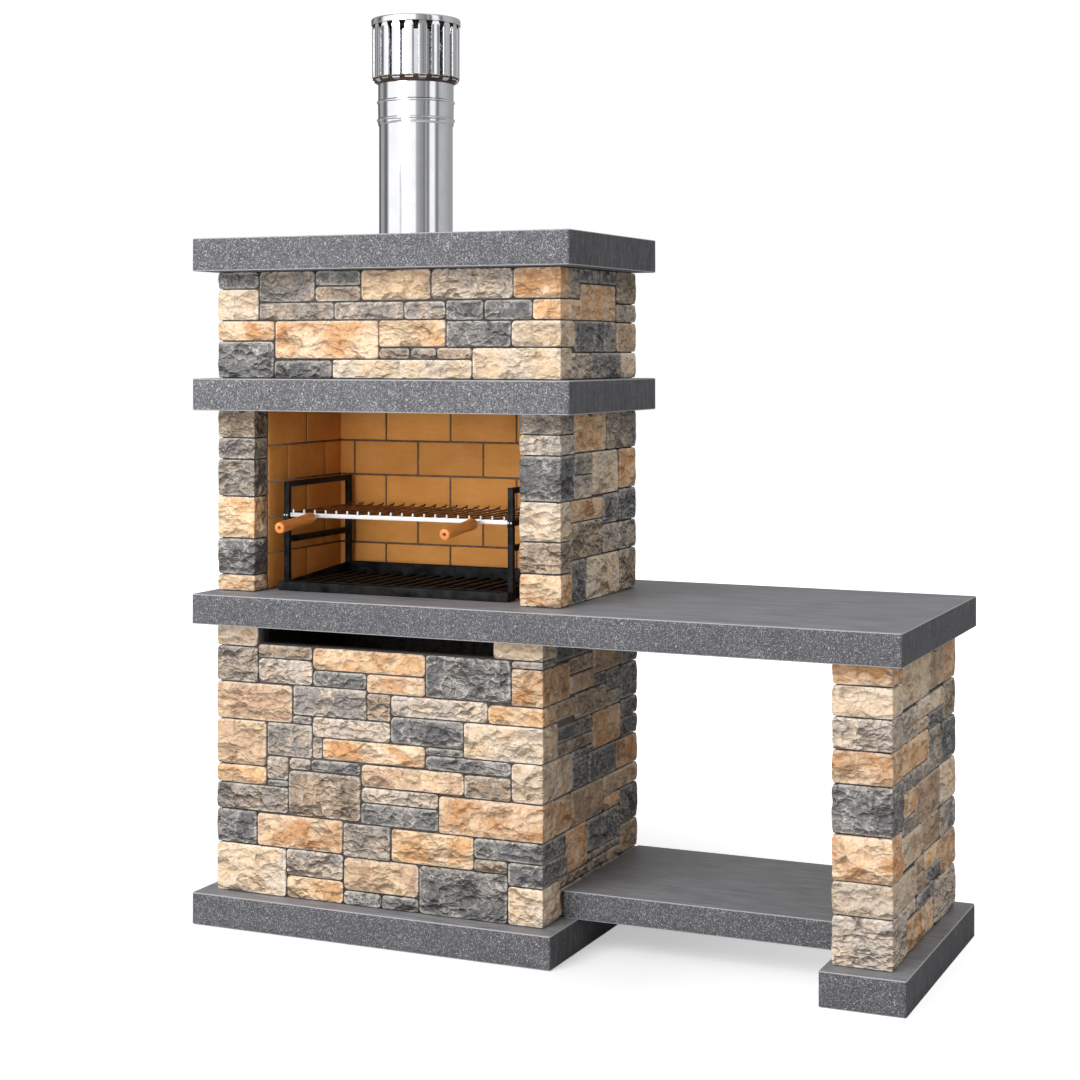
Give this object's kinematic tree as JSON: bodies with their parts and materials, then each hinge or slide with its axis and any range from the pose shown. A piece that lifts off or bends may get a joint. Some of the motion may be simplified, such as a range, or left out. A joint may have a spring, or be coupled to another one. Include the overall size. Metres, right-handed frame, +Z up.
{
  "type": "garden barbecue",
  "caption": "Stone-faced garden barbecue with slab worktop, brick firebox, sliding cooking grill, lift-out coal tray, hood, steel flue with slatted cowl, and a side table on a pier.",
  "frame": {"origin": "on the ground, below the front left corner of the lower stone body", "axes": "+X to the right along the front, towards the side table; +Y to the rear; +Z up"},
  "size_m": [1.945, 0.8072, 2.4219],
  "materials": {
    "slab_stone": "dark grey speckled reconstituted stone, smooth and a little glossy on top",
    "rubble_stone": "split-faced walling stones, each of its own colour from cream and ochre to blue-grey, with thin dark joints",
    "firebrick": "matte orange-brown firebrick tiles in running bond",
    "bright_steel": "polished stainless steel",
    "black_steel": "satin black heat-proof paint",
    "grill_steel": "brown, heat-tinted steel rods on a bright bar",
    "turned_wood": "varnished orange-brown turned wood"
  },
  "bodies": {
    "barbecue": {"base_slab": "slab_stone", "pier_base_slab": "slab_stone", "shelf_slab": "slab_stone", "counter_slab": "slab_stone", "mantel_slab": "slab_stone", "top_slab": "slab_stone", "lower_front_wall": "rubble_stone", "lower_right_wall": "rubble_stone", "lower_rear_wall": "rubble_stone", "lower_left_wall": "rubble_stone", "firebox_left_wall": "rubble_stone", "firebox_right_wall": "rubble_stone", "firebox_rear_wall": "rubble_stone", "hood_front_wall": "rubble_stone", "hood_right_wall": "rubble_stone", "hood_rear_wall": "rubble_stone", "hood_left_wall": "rubble_stone", "table_pier": "rubble_stone", "firebrick_left": "firebrick", "firebrick_right": "firebrick", "firebrick_rear": "firebrick", "flue_pipe": "bright_steel", "cowl_sleeve": "bright_steel", "cowl_cone": "bright_steel", "cowl_outer_slats": "bright_steel", "cowl_inner_slats": "bright_steel", "cowl_cap": "bright_steel", "carrier_left_frame": "black_steel", "carrier_right_frame": "black_steel", "carrier_front_rail": "black_steel", "carrier_rear_rail": "black_steel"},
    "tray": {"coal_tray": "black_steel"},
    "grate": {"coal_grate": "black_steel"},
    "grill": {"cooking_grill": "grill_steel", "left_handle_rod": "bright_steel", "right_handle_rod": "bright_steel", "left_grip": "turned_wood", "right_grip": "turned_wood"}
  },
  "joints": [
    {"name": "grill_slide", "type": "slide", "parent": "barbecue", "child": "grill", "axis": [0, -1, 0], "range_m": [0, 0.26]},
    {"name": "tray_lift", "type": "slide", "parent": "barbecue", "child": "tray", "axis": [0, 0, 1], "range_m": [0, 0.06]},
    {"name": "grate_lift", "type": "slide", "parent": "tray", "child": "grate", "axis": [0, 0, 1], "range_m": [0, 0.05]}
  ]
}
